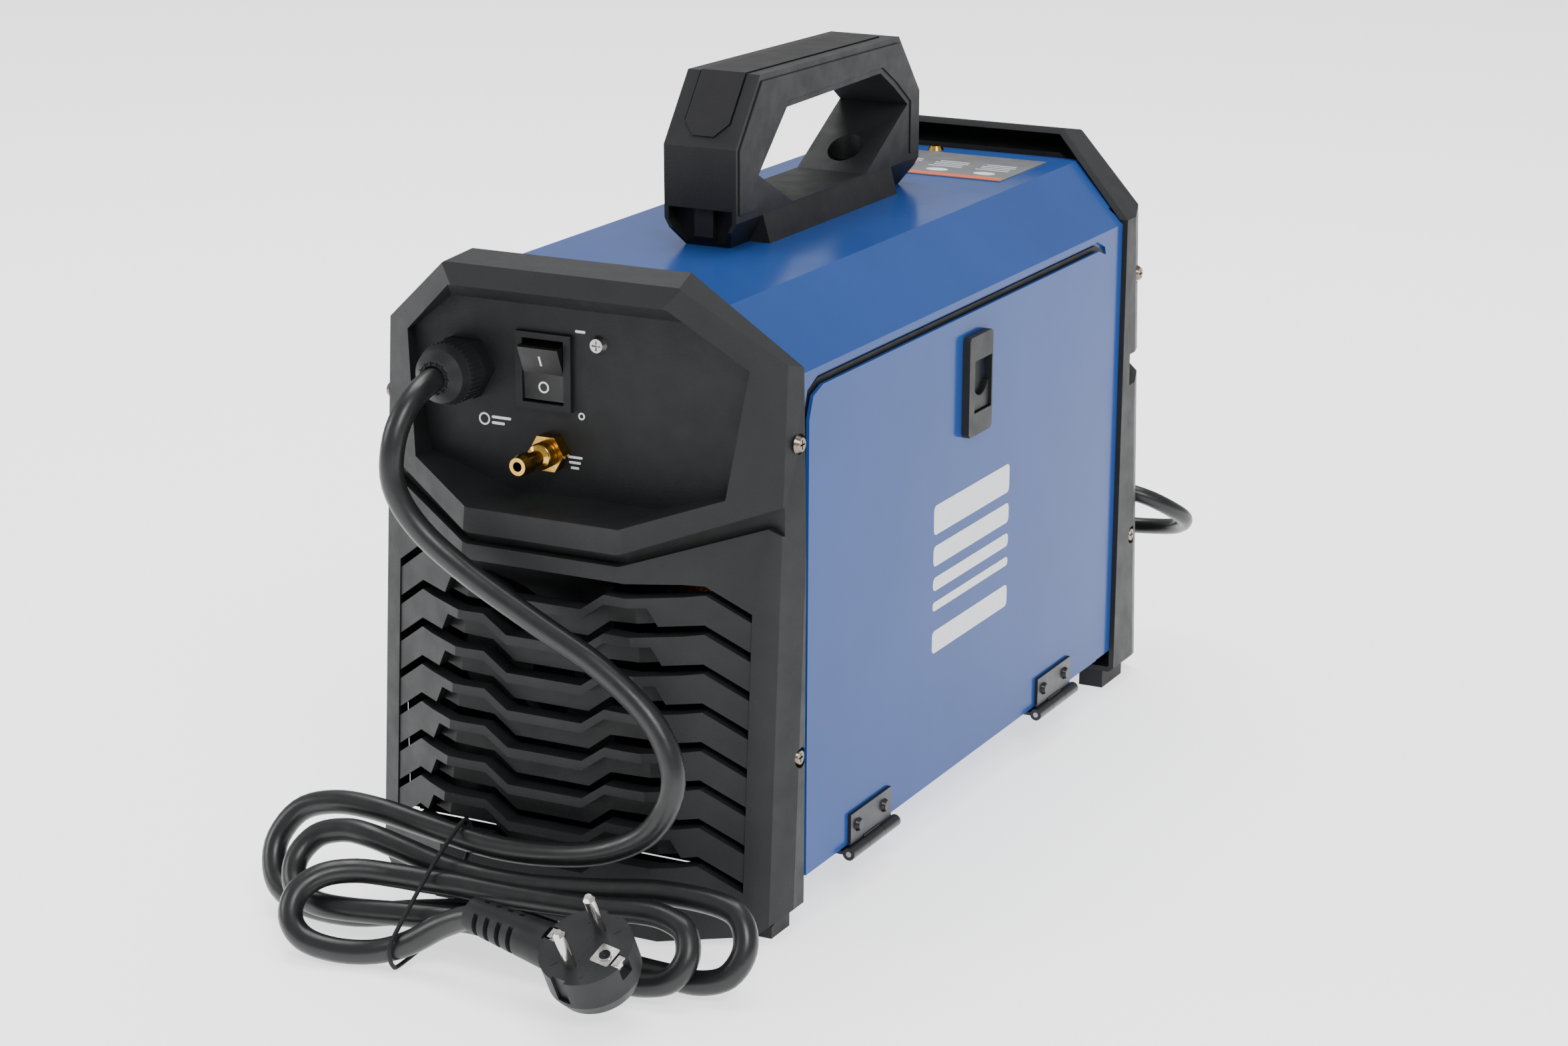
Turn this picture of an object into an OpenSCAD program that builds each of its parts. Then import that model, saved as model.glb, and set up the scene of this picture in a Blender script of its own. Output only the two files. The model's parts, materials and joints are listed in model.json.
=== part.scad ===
// MIG welding machine with side wire bay, carrying handle and mains lead.
// Millimetres. Origin on the floor under the middle of the case, +Z up, +Y towards the rear panel.

/* [Case] */
// Sheet thickness of the case
sheet = 1.5; // [1.2:0.1:1.8]
// Height of the slats pitch in the grille
slat_pitch = 15.8; // [15:0.1:16]
// Number of grille slats
slat_count = 7; // [5:7]
// Depth of each grille slat
slat_depth = 8; // [6:10]

/* [Mains lead] */
// Outer diameter of the mains lead
cord_d = 10; // [8:0.5:10]
// Outer diameter of the cable gland nut
gland_d = 25; // [24:27]

/* [Wire feed] */
// Outer diameter of the wire spool
spool_d = 190; // [180:200]
// Width of the wire spool
spool_w = 52; // [46:54]

/* [Front] */
// Diameter of the rotary knobs
knob_d = 20; // [16:22]

/* [Hidden] */
$fn = 48;

blue = [0.09, 0.27, 0.53];
black = [0.13, 0.13, 0.14];
steel = [0.7, 0.71, 0.73];
brass = [0.78, 0.62, 0.25];
copper = [0.72, 0.45, 0.25];

half_w = 92.5;          // outside of the case sides
panel_y = 185.6;        // face of the rear panel
door_x = -94;           // outside of the door
hinge_x = -96;
hinge_z = 18;
gland = [53.5, 219];
gas = [13.5, 188.5];
rocker = [16.7, 221.2];
spool_y = 58;
spool_z = 128;
spool_x = -46;          // middle of the spool width
roll_y = -76;
roll_z = 96;
fan = [47, 92];

module along_y(y0, y1) translate([0, y1, 0]) rotate([90, 0, 0]) linear_extrude(y1 - y0) children();
module along_x(x0, x1) translate([x0, 0, 0]) rotate([90, 0, 90]) linear_extrude(x1 - x0) children();
module both_x() { children(); mirror([1, 0, 0]) children(); }
module to_front() mirror([0, 1, 0]) children();
function mir(p) = concat(p, [for (i = [len(p) - 1:-1:0]) [-p[i][0], p[i][1]]]);

// ---- end bezels: one moulding, used at both ends ----
module env(t) intersection() {
  along_y(90, 260) polygon(mir([[49.6 - 0.35 * t, 267.8 - t], [95 - t, 231.9 - 0.48 * t],
    [95 - t, 11 + 0.4 * t], [84 - 0.4 * t, 2 + t]]));
  along_x(-110, 110) polygon([[90, 9 + t], [175, 9 + t], [197, 4 + t], [219.9 - t, 2 + t],
    [218.7 - t, 149], [218.3 - t, 170], [206.2 - t, 257 - 0.5 * t], [201.9 - t, 265.1 - t],
    [185.9 - t, 267.8 - t], [90, 267.8 - t]]);
  translate([0, 0, 149]) rotate([3.6, 0, 0]) translate([0, 0, -170]) linear_extrude(340)
    polygon([[-95 + t, 60], [-95 + t, 175.5], [-90.8 + t, 188.8 - 0.3 * t], [0, 238.7 - 1.14 * t],
      [90.8 - t, 188.8 - 0.3 * t], [95 - t, 175.5], [95 - t, 60]]);
}
module edge_cut(side, top) along_x(-110, 110)
  polygon([[side, -5], [side, 232], [top, 268.5], [260, 268.5], [260, -5]]);
octagon = mir([[47, 258.5], [77.9, 232.8], [71, 182], [34.3, 170.4]]);
octagon_wide = mir([[48, 261], [81, 234], [73.6, 180], [35, 167.6]]);
module top_slope(s) along_x(-110, 110)
  polygon([[180, 140], [260, 140], [260, 290 + s], [206.2, 257 + s], [180, 245 + s]]);
grille_area = mir([[34, 149], [57, 148.5], [65, 147.8], [81.4, 136.3], [81.4, 21.9], [65, 33.4],
  [57.7, 32.7], [36.4, 32.2], [27.7, 32.4], [17.1, 24.9]]);
grille_rim = mir([[36, 152], [84, 152], [84, 10], [17, 10]]);
function slat_z(i) = 144 - slat_pitch * i;
function slat_mid(i) = 45 + 1.7 * i;
module slat_face(z, m) polygon(mir([[17.1, z - 8.5], [27.7, z - 1], [36.4, z - 1.2], [57.7, z - 0.7],
  [65, z], [81.6, z - 11.6], [81.6, z - 23.6], [65, z - 12], [m + 4, z - 12.5], [m, z - 5],
  [27.7, z - 5], [17.1, z - 12.5]]));
module slat_back(z, m) polygon(mir([[17, z - 9], [27.7, z - 2], [m, z - 2], [m + 4, z - 12.5],
  [27, z - 13.5], [17, z - 21]]));

// groove_y is where the side strip ends and the groove starts, and drop lowers the groove
module bezel(side, top, groove_y, drop) {
  difference() {
    union() {
      difference() {
        intersection() { env(0); edge_cut(side, top); }
        env(2.5);
      }
      // thick belt that carries the groove, and the rim of the lower opening
      difference() {
        intersection() {
          env(0.5);
          translate([0, 0, -drop]) along_y(groove_y - 0.5, 250)
            polygon(mir([[90, 190], [95, 190], [95, 158], [86, 158], [36, 146]]));
        }
        env(8.5);
      }
      difference() {
        intersection() { env(0.5); along_y(178, 250) polygon(grille_rim); }
        env(slat_depth);
      }
      // funnel down to the panel
      intersection() {
        env(0.5);
        along_y(panel_y, 250) polygon(octagon_wide);
        top_slope(2.5);
      }
    }
    intersection() { along_y(panel_y - 1, 260) polygon(octagon); top_slope(0); }
    along_y(150, 260) polygon(grille_area);
    // groove under the upper frame, open at both sides
    difference() {
      translate([0, 0, -drop]) along_y(groove_y, 260)
        polygon(mir([[34, 160.1], [97, 181], [97, 164], [86, 170.5], [34.3, 155.4]]));
      env(6);
    }
    // bezel screw seats
    both_x() for (p = [[179, 203], [178.5, 74]]) translate([92.9, p[0], p[1]]) rotate([0, 90, 0]) {
      cylinder(r = 4.3, h = 10);
      translate([0, 0, -8]) cylinder(r = 2.05, h = 10);
    }
  }
  // stiffening ribs between flange and case top
  for (x = [-32, 0, 32]) difference() {
    intersection() {
      translate([x - 0.75, 176, 254]) cube([1.5, 22, 12]);
      edge_cut(side, top);
    }
    env(-1);
  }
}

module rear_grille_slats() intersection() {
  difference() { env(0.6); env(slat_depth); }
  along_y(150, 250) for (i = [0:slat_count - 1]) slat_face(slat_z(i), slat_mid(i));
}
module rear_grille_backs() intersection() {
  difference() { env(slat_depth - 1); env(slat_depth + 2); }
  along_y(150, 250) for (i = [0:slat_count - 1]) slat_back(slat_z(i), slat_mid(i));
}
module rear_bezel() color(black) {
  bezel(175.3, 185.9, 186.5, 0);
  rear_grille_slats();
  rear_grille_backs();
}
module front_bezel() color(black) to_front() bezel(160, 187.7, 168.5, 14.5);

module panel_plate() along_y(panel_y - 2.5, panel_y) polygon(mir([[50, 256], [79, 234], [79, 162],
  [40, 152]]));
module rear_panel() color(black) difference() {
  panel_plate();
  translate([rocker[0] - 11.1, 180, rocker[1] - 14.1]) cube([22.2, 8, 28.2]);
  translate([gland[0], 180, gland[1]]) rotate([-90, 0, 0]) cylinder(r = 10.05, h = 8);
  translate([gas[0], 180, gas[1]]) rotate([-90, 0, 0]) cylinder(r = 5.05, h = 8);
  translate([-7.8, 180, 234.3]) rotate([-90, 0, 0]) cylinder(r = 2.05, h = 8);
}
module front_panel() color(black) difference() {
  union() {
    to_front() panel_plate();
    to_front() along_y(183.1, 185.6) polygon(mir([[81, 152], [81, 18]]));
  }
  for (x = [-42, 42]) translate([x, -190, 208]) rotate([-90, 0, 0]) cylinder(r = 3.05, h = 10);
  for (x = [-20, 20]) translate([x, -190, 182]) rotate([-90, 0, 0]) cylinder(r = 3.55, h = 10);
  translate([-28.1, -190, 221.9]) cube([56.2, 10, 24.2]);
  translate([-30, -190, roll_z + 15.1]) rotate([-90, 0, 0]) cylinder(r = 14.05, h = 10);
  translate([-66, -190, 86]) rotate([-90, 0, 0]) cylinder(r = 4.6, h = 10);
  for (x = [-42, 42]) translate([x, -190, 56]) rotate([-90, 0, 0]) cylinder(r = 13.05, h = 10);
}

// ---- sheet metal ----
case_out = mir([[60.5, 254], [half_w, 230], [half_w, 20]]);
case_in = mir([[60, 254 - sheet], [half_w - sheet, 229.2], [half_w - sheet, 19]]);
module case_cover() color(blue) difference() {
  union() {
    along_y(-162, 175) difference() { polygon(case_out); polygon(case_in); }
    along_y(-182.8, 182.8) polygon(mir([[60.5, 254], [84, 236.37], [84, 234.5], [60, 254 - sheet]]));
  }
  along_x(-100, -88) polygon([[-142, 10], [174, 10], [174, 212], [170.5, 222.5], [161, 227],
    [-129, 227], [-138.5, 223], [-142, 212]]);
  for (y = [60, -52]) translate([0, y, 240]) cylinder(r = 2.55, h = 20);
  translate([11, -175, 240]) cylinder(r = 2.05, h = 20);
}
module base_plate() color(blue) {
  translate([-91, -176, 20]) cube([182, 352, sheet]);
  translate([89.5, -176, 20]) cube([sheet, 352, 16]);
  translate([-91, -176, 20]) cube([sheet, 352, 16]);
}
module door_frame() color(blue) difference() {
  translate([-91, -160, 36]) cube([sheet, 335, 192]);
  translate([-95, -132, 30]) cube([10, 296, 185]);
}
module divider_plate() color(steel) difference() {
  translate([4, -175, 21.5]) cube([sheet, 325, 226]);
  translate([0, roll_y, roll_z]) rotate([0, 90, 0]) cylinder(r = 9, h = 10);
}
module end_frame() difference() {
  union() {
    along_y(176, 177.5) polygon(mir([[58, 248], [86.4, 226], [86.4, 20], [40, 20]]));
    both_x() translate([84.5, 176, 30]) cube([1.5, 9, 190]);
  }
  both_x() for (p = [[179, 203], [178.5, 74]]) translate([80, p[0], p[1]]) rotate([0, 90, 0])
    cylinder(r = 2.05, h = 12);
  children();
}
module rear_frame() color(steel) end_frame() {
  translate([fan[0], 170, fan[1]]) rotate([-90, 0, 0]) cylinder(r = 37.5, h = 10);
  translate([-75, 170, 30]) cube([66, 10, 110]);
  along_y(170, 180) polygon(mir([[45, 244], [72, 228], [66, 160]]));
}
module front_frame() color(steel) to_front() end_frame() {
  along_y(170, 180) polygon(mir([[45, 244], [72, 228], [72, 30]]));
  // notch round the belt behind the bezel's side groove
  both_x() translate([84.3, 170, 139]) cube([4, 20, 40]);
}
module foot(y0, y1) both_x() along_x(77, 89)
  polygon([[y0, 0], [y0, min(9, 9 - (y0 - 175) / 4.4)], [max(y0, 175), 9 - (max(y0, 175) - 175) / 4.4],
    [y1, 9 - (y1 - 175) / 4.4], [y1, 0]]);
module feet() color(black) {
  foot(176, 192);
  to_front() foot(161, 186);
}

// ---- door, hinges and latch ----
module side_door() color(blue) difference() {
  along_x(door_x, door_x + sheet) polygon([[-139.5, 21], [171.5, 21], [171.5, 211], [168, 220],
    [159.5, 223], [-127.5, 223], [-136, 220], [-139.5, 211]]);
  translate([-100, latch_y - 0.6, 171.4]) cube([10, 18.5, 40.8]);
  for (h = hinges, y = [h[0] + 7, h[1] - 7]) translate([-98, y, 28]) rotate([0, 90, 0])
    cylinder(r = 1.55, h = 8);
}
hinges = [[94, 133], [-103, -64]];
module knuckle(y0, y1) translate([hinge_x, y0, hinge_z]) rotate([-90, 0, 0]) difference() {
  cylinder(r = 2.7, h = y1 - y0);
  translate([0, 0, -1]) cylinder(r = 1.25, h = y1 - y0 + 2);
}
module door_hinge_leaves() color(steel) for (h = hinges) difference() {
  union() {
    translate([door_x - 1.5, h[0], 21]) cube([1.5, h[1] - h[0], 13.2]);
    translate([door_x - 1.9, h[0] + 12, 18.6]) cube([1.9, h[1] - h[0] - 24, 3]);
    knuckle(h[0] + 12, h[1] - 12);
  }
  translate([hinge_x, h[0] - 1, hinge_z]) rotate([-90, 0, 0]) cylinder(r = 1.25, h = 60);
  for (y = [h[0] + 7, h[1] - 7]) translate([-98, y, 28]) rotate([0, 90, 0]) cylinder(r = 1.55, h = 8);
}
module fixed_hinge_leaves() color(steel) for (h = hinges) difference() {
  union() {
    translate([-96, h[0], 16.2]) cube([18, 11.8, 1.5]);
    translate([-96, h[1] - 11.8, 16.2]) cube([18, 11.8, 1.5]);
    translate([-88, h[0], 16.2]) cube([10, h[1] - h[0], 3.8]);
    knuckle(h[0] - 3, h[0] + 11.8);
    knuckle(h[1] - 11.8, h[1] + 3);
  }
  translate([hinge_x, h[0] - 5, hinge_z]) rotate([-90, 0, 0]) cylinder(r = 1.25, h = 60);
}
module hinge_pins() color(steel) for (h = hinges)
  translate([hinge_x, h[0] - 3, hinge_z]) rotate([-90, 0, 0]) cylinder(r = 1.2, h = h[1] - h[0] + 6);
module hinge_screws() color(brass) for (h = hinges, y = [h[0] + 7, h[1] - 7])
  translate([-95.5, y, 28]) rotate([0, 90, 0]) {
    cylinder(r = 1.5, h = 4);
    translate([0, 0, -1.6]) cylinder(r1 = 2.2, r2 = 3, h = 1.6);
  }
latch_y = 2.3;          // front edge of the latch window
module latch_bezel() color(black) difference() {
  along_x(door_x - 3.5, door_x) polygon([[1, 171.5], [2.5, 169.7], [24, 169.7], [25.3, 171.2],
    [25.3, 212], [24, 213.5], [2.5, 213.5], [1, 212]]);
  translate([-96.3, latch_y - 0.3, 171.7]) cube([10, 17.8, 40.3]);
  translate([-100, latch_y - 0.3, 179.5]) cube([10, 17.8, 23]);
}
module latch_slider() color([0.2, 0.2, 0.21]) {
  difference() {
    translate([-96.2, latch_y, 180]) cube([4.2, 17.2, 11]);
    translate([-98, latch_y + 8.6, 194]) rotate([0, 90, 0]) cylinder(r = 8, h = 4.2);
  }
  translate([-93.8, latch_y, 173]) cube([1.8, 17.2, 30.5]);
  translate([-93, latch_y + 3, 181]) cube([4.5, 11.5, 20]);
  translate([-90.5, latch_y + 3, 185]) cube([2, 11.5, 21.4]);
}

// ---- handle ----
module grip_shape(w, proud) intersection() {
  along_x(-w, w) polygon([[-64, 322.4], [-64, 324.1 + proud], [65.2, 325.5 + proud],
    [84 + 0.8 * proud, 300.5 + 0.6 * proud], [82.6, 299.4], [64.2, 323.8]]);
  along_y(-70, 100) polygon([[-w, 340], [-w, 306.5], [-5, 301.4], [5, 301.4], [w, 306.5], [w, 340]]);
}
module handle_body() color(black) {
  difference() {
    intersection() {
      along_x(-17, 17) polygon([[-94, 262], [-94, 296.5], [-71, 324], [65, 325.5], [86.6, 297],
        [86, 262], [79, 254], [-86, 254]]);
      along_y(-110, 100) polygon([[-17, 266], [-10, 253], [10, 253], [17, 266], [17, 340], [-17, 340]]);
    }
    // finger loop with sloped gussets at both ends of its floor
    along_x(-20, 20) polygon([[66, 283.5], [40, 308.4], [-52, 310], [-66, 302], [-81, 292],
      [-74, 288], [-38, 267], [34, 267]]);
    for (y = [-40, -22, -4, 14, 32]) translate([-9, y - 5, 305]) cube([18, 10, 9]);
    grip_shape(11, 3);
    // pocket in the rear leg, with a rib down its middle
    difference() {
      along_y(79, 95) polygon([[-15, 271], [-15, 265.6], [-9.4, 256], [9.4, 256], [15, 265.6], [15, 271]]);
      translate([-4.5, 78, 254]) cube([9, 5, 18]);
    }
    for (y = [60, -52]) translate([0, y, 250]) cylinder(r = 2.55, h = 22);
    translate([0, 60, 268]) cylinder(r = 5.5, h = 22);
    translate([0, -52, 268]) cylinder(r = 8, h = 40);
  }
  difference() {
    along_y(-64, 62) polygon([[-20.5, 254], [-17, 266], [17, 266], [20.5, 254]]);
    for (y = [60, -52]) translate([0, y, 250]) cylinder(r = 2.55, h = 22);
  }
}
module handle_grip() color([0.1, 0.1, 0.1]) grip_shape(10.4, 0.5);
module handle_screws() color(steel) for (y = [60, -52]) translate([0, y, 248]) {
  cylinder(r = 2.5, h = 20);
  translate([0, 0, 20]) cylinder(r = 4.5, h = 3);
}

// ---- rear panel parts ----
module switch_housing() color(black) difference() {
  union() {
    translate([rocker[0] - 12.8, panel_y, rocker[1] - 15.6]) cube([25.6, 2.2, 31.2]);
    translate([rocker[0] - 11, panel_y - 18, rocker[1] - 14]) cube([22, 18, 28]);
  }
  translate([rocker[0] - 9.5, panel_y - 12, rocker[1] - 13.1]) cube([19, 20, 26.2]);
  translate([rocker[0] - 12, panel_y - 2, rocker[1]]) rotate([0, 90, 0]) cylinder(r = 1.85, h = 24);
}
module switch_rocker() color([0.08, 0.08, 0.08]) {
  translate([rocker[0] - 10.8, panel_y - 2, rocker[1]]) rotate([0, 90, 0]) cylinder(r = 1.8, h = 21.6);
  translate([rocker[0] - 9.2, panel_y, rocker[1]]) along_x(0, 18.4)
    polygon([[-5, -11.4], [1.2, -12], [1.6, -1], [6.4, 10.2], [5.6, 10.9], [-5, 11.4]]);
}
module gland_body() color(black) translate([gland[0], panel_y, gland[1]]) rotate([-90, 0, 0])
  difference() {
    union() {
      cylinder(r = 13.5, h = 7, $fn = 6);
      translate([0, 0, -10]) cylinder(r = 10, h = 22);
    }
    translate([0, 0, -11]) cylinder(r = cord_d / 2 + 0.4, h = 40);
  }
module gland_nut() color(black) translate([gland[0], panel_y + 7, gland[1]]) rotate([-90, 0, 0])
  difference() {
    rotate_extrude() polygon([[10.05, 0], [gland_d / 2, 0], [gland_d / 2, 10], [gland_d / 2 - 1.5, 14],
      [gland_d / 2 - 5, 17], [6.6, 18], [6.6, 8], [10.05, 8]]);
  }
module gas_barb() color(brass) translate([gas[0], panel_y, gas[1]]) rotate([-90, 0, 0])
  rotate_extrude() polygon([[2, -16], [5, -16], [5, 12], [3.2, 13], [3.2, 20], [4.4, 20.5], [4.4, 24.5],
    [3.6, 28], [2, 28]]);
module gas_nut() color(brass) translate([gas[0], panel_y, gas[1]]) rotate([-90, 0, 0]) difference() {
  cylinder(r = 8.1, h = 6, $fn = 6);
  translate([0, 0, -1]) cylinder(r = 5.05, h = 10);
}
module pan_screw(r, l) {
  translate([0, 0, -l]) cylinder(r = r, h = l);
  difference() {
    cylinder(r1 = r * 1.95, r2 = r * 1.4, h = r);
    for (a = [0, 90]) rotate([0, 0, a]) translate([-r, -0.35, r * 0.5]) cube([2 * r, 0.7, r]);
  }
}
module rear_bezel_screws() color([0.5, 0.42, 0.32]) both_x()
  for (p = [[179, 203], [178.5, 74]]) translate([92.9, p[0], p[1]]) rotate([0, 90, 0]) pan_screw(2, 9);
module front_bezel_screws() color([0.5, 0.42, 0.32]) to_front() both_x()
  for (p = [[179, 203], [178.5, 74]]) translate([92.9, p[0], p[1]]) rotate([0, 90, 0]) pan_screw(2, 9);
module panel_screw() color(steel) translate([-7.8, panel_y, 234.3]) rotate([-90, 0, 0]) pan_screw(2, 8);
module top_screw() color(brass) translate([11, -175, 254]) pan_screw(2, 6);
module top_label() color([0.6, 0.6, 0.62]) translate([-50, -168, 254]) cube([100, 56, 0.4]);

// ---- mains lead ----
lead_pts = [[53.5, 200, 219], [53.5, 212, 218.5], [54.5, 226, 213], [56, 236, 200], [55, 239, 182],
  [45, 237, 165], [24, 235, 149], [-6, 234, 133], [-36, 234, 118], [-60, 235, 99], [-69, 237, 78],
  [-61, 239, 58], [-42, 240, 46], [-18, 240, 40]];
loop_1 = [[10, 240, 38], [40, 238, 40], [68, 237, 43], [88, 238, 43], [103.3, 241.5, 37.7],
  [109.6, 250, 25], [103.3, 258.5, 12.3], [88, 262, 7], [62, 264, 8], [36, 258, 12], [8, 253, 15],
  [-24, 254, 13], [-54, 257, 8], [-78, 258, 7], [-92, 258, 7], [-103, 255.8, 11],
  [-107.4, 250.5, 20.5], [-103, 245.2, 30], [-92, 243, 34], [-66, 243, 34], [-36, 245, 30],
  [-4, 246.5, 27]];
loop_2 = [[24, 247.5, 28], [48, 250, 34], [62, 251.5, 37.5], [74, 252, 38], [85.5, 255.4, 34.6],
  [90.2, 263.5, 26.5], [85.5, 271.6, 18.4], [74, 275, 15], [58, 275, 15], [30, 270, 16], [2, 265, 16],
  [-28, 267, 13], [-52, 271, 8], [-65, 271.3, 7.4], [-76, 271, 8], [-85.4, 268.8, 11.2],
  [-89.3, 263.5, 19], [-85.4, 258.2, 26.8], [-76, 256, 30], [-64, 256, 30.4], [-44, 257, 28.4],
  [-12, 258, 27]];
loop_3 = [[16, 258.5, 27], [30, 260, 27], [44, 262, 27.5], [58, 268, 29], [69, 276, 28], [75, 285, 23],
  [74, 292, 15], [66, 295, 8.5], [52, 294, 6], [36, 290, 6.8], [22, 286.8, 12], [8, 284, 21],
  [-6, 284.1, 27.2], [-20, 286.5, 27.4]];
route = concat(lead_pts, loop_1, loop_2, loop_3);
lead_route = [[-42, -224, 56], [-44, -236, 56], [-56, -246, 57], [-76, -248, 58], [-94, -242, 62],
  [-103, -230, 70], [-99, -216, 79], [-89, -209, 85], [-77, -205, 87.5], [-68, -197, 86.5],
  [-66, -189, 86], [-66, -180, 86]];
tie_route = [[26, 232.5, 40], [26, 236, 45.5], [26, 242, 45], [26, 262, 35.2], [26, 290, 16.4],
  [26, 294.6, 10.5], [26, 292.5, 3.8], [26, 286, 2.2], [26, 256, 5.6], [26, 249, 9], [26, 240, 26],
  [26, 232.6, 35], [26, 232.2, 38]];
function spl(a, b, c, d, t) = 0.5 * (2 * b + (c - a) * t + (2 * a - 5 * b + 4 * c - d) * t * t
  + (3 * b - a - 3 * c + d) * t * t * t);
function route_at(r, s) = let (n = len(r), i = min(floor(s), n - 2), t = s - i)
  spl(r[max(i - 1, 0)], r[i], r[i + 1], r[min(i + 2, n - 1)], t);
function unit(v) = v / norm(v);
module tube(r, rad, steps, sides) {
  n = (len(r) - 1) * steps;
  pts = [for (k = [0:n]) route_at(r, k / steps)];
  tan = [for (k = [0:n]) unit(pts[min(k + 1, n)] - pts[max(k - 1, 0)])];
  ring = [for (k = [0:n]) let (s = unit(cross(tan[k], [0.13, 0.31, 0.94])), w = cross(s, tan[k]))
    for (j = [0:sides - 1]) pts[k] + rad * (cos(360 * j / sides) * s + sin(360 * j / sides) * w)];
  polyhedron(points = ring, faces = concat(
    [[for (j = [0:sides - 1]) j]],
    [for (k = [0:n - 1], j = [0:sides - 1]) [k * sides + j, (k + 1) * sides + j,
      (k + 1) * sides + (j + 1) % sides, k * sides + (j + 1) % sides]],
    [[for (j = [sides - 1:-1:0]) n * sides + j]]));
}
module mains_cable() color(black) tube(route, cord_d / 2, 1, 8);
module plug_frame() translate([-65, 299, 32]) rotate([-28.7, 0, 0]) rotate([0, 0, -11]) children();
module plug_body() color(black) plug_frame() difference() {
  union() {
    translate([0, 0, -20]) cylinder(r1 = 16, r2 = 18.5, h = 6);
    translate([0, 0, -14]) cylinder(r = 18.5, h = 14);
    translate([12, 0, -10]) rotate([0, 90, 0]) cylinder(r1 = 9.6, r2 = 6.8, h = 48);
  }
  for (y = [-9.5, 9.5]) translate([0, y, -8]) cylinder(r = 2.42, h = 10);
  translate([12, -3, -7]) cube([8, 6, 8]);
  translate([-20, -3, -7]) cube([8, 6, 8]);
  both_y() translate([-3, 16.8, -12]) cube([6, 4, 13]);
  for (x = [34:6:52]) both_y() translate([x, 3, -20]) cube([2.4, 8, 20]);
}
module both_y() { children(); mirror([0, 1, 0]) children(); }
module plug_pins() color(steel) plug_frame() for (y = [-9.5, 9.5]) translate([0, y, -8]) {
  cylinder(r = 2.4, h = 25.6);
  translate([0, 0, 25.6]) cylinder(r1 = 2.4, r2 = 1.4, h = 1.4);
}
module plug_clips() color(steel) plug_frame() {
  translate([12, -3, -7]) cube([4, 6, 6.5]);
  translate([-16, -3, -7]) cube([4, 6, 6.5]);
}
module cord_tie() color(black) tube(tie_route, 0.9, 1, 6);

// ---- power side ----
module fan_frame() color(black) difference() {
  translate([fan[0] - 40, 151, fan[1] - 40]) cube([80, 25, 80]);
  difference() {
    translate([fan[0], 150, fan[1]]) rotate([-90, 0, 0]) cylinder(r = 37.5, h = 30);
    translate([fan[0], 172, fan[1]]) rotate([-90, 0, 0]) cylinder(r = 17, h = 4);
    for (a = [45:90:315]) translate([fan[0], 173, fan[1]]) rotate([0, a, 0])
      translate([-2, 0, 10]) cube([4, 3, 30]);
    translate([fan[0], 158, fan[1]]) rotate([-90, 0, 0]) cylinder(r = 2, h = 16);
  }
  for (x = [-35.75, 35.75], z = [-35.75, 35.75])
    translate([fan[0] + x, 150, fan[1] + z]) rotate([-90, 0, 0]) cylinder(r = 2.2, h = 30);
}
module fan_rotor() color([0.18, 0.18, 0.19]) translate([fan[0], 155, fan[1]]) rotate([-90, 0, 0])
  difference() {
    union() {
      cylinder(r = 16, h = 15.5);
      for (a = [0:7]) rotate([0, 0, a * 360 / 7]) translate([14, 0, 7.5]) rotate([38, 0, 0])
        translate([0, -9, -0.9]) cube([21.5, 18, 1.8]);
    }
    translate([0, 0, -1]) cylinder(r = 2.05, h = 20);
  }
module circuit_board() color([0.1, 0.35, 0.2]) {
  translate([20, -165, 132]) cube([1.6, 290, 106]);
  for (y = [-140, 100]) translate([5.5, y, 140]) cube([14.5, 6, 6]);
}
module heatsink() color(steel) along_y(-40, 110) {
  translate([21.6, 140]) square([5, 70]);
  for (z = [140:8:204]) translate([26, z]) square([40, 2.4]);
}
module transformer() color(copper) {
  difference() {
    translate([26, -20, 21.5]) cube([58, 90, 56]);
    for (z = [31, 56]) translate([36, -30, z]) cube([38, 110, 12]);
  }
}
module gas_valve() color(brass) {
  translate([gas[0] - 8, 151, gas[1] - 9]) cube([18, 18.6, 18]);
  translate([gas[0] + 1, 158, gas[1] + 9]) cylinder(r = 7, h = 9);
}

// ---- wire bay ----
module spool_hub() color(black) translate([4, spool_y, spool_z]) rotate([0, -90, 0]) {
  cylinder(r = 34, h = 3);
  cylinder(r = 24.9, h = 50.5 + spool_w / 2);
  cylinder(r = 8, h = 60 + spool_w / 2);
}
module wire_spool() color([0.25, 0.25, 0.27]) translate([spool_x, spool_y, spool_z]) rotate([0, 90, 0])
  difference() {
    union() {
      for (z = [-spool_w / 2, spool_w / 2 - 2.5]) translate([0, 0, z]) difference() {
        cylinder(r = spool_d / 2, h = 2.5);
        for (a = [0:60:300]) rotate([0, 0, a]) translate([62, 0, -1]) cylinder(r = 11, h = 5);
      }
      translate([0, 0, -spool_w / 2]) cylinder(r = 30, h = spool_w);
    }
    translate([0, 0, -spool_w]) cylinder(r = 24.97, h = 2 * spool_w);
  }
module weld_wire() color(copper) translate([spool_x, spool_y, spool_z]) rotate([0, 90, 0]) difference() {
  translate([0, 0, -spool_w / 2 + 2.5]) cylinder(r = spool_d / 2 - 14, h = spool_w - 5);
  translate([0, 0, -spool_w]) cylinder(r = 30, h = 2 * spool_w);
}
module spool_nut() color(black) translate([-46.5 - spool_w / 2, spool_y, spool_z]) rotate([0, -90, 0])
  difference() {
    union() {
      cylinder(r = 28, h = 3);
      cylinder(r = 16, h = 9, $fn = 8);
    }
    translate([0, 0, -1]) cylinder(r = 8.05, h = 20);
  }
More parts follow.
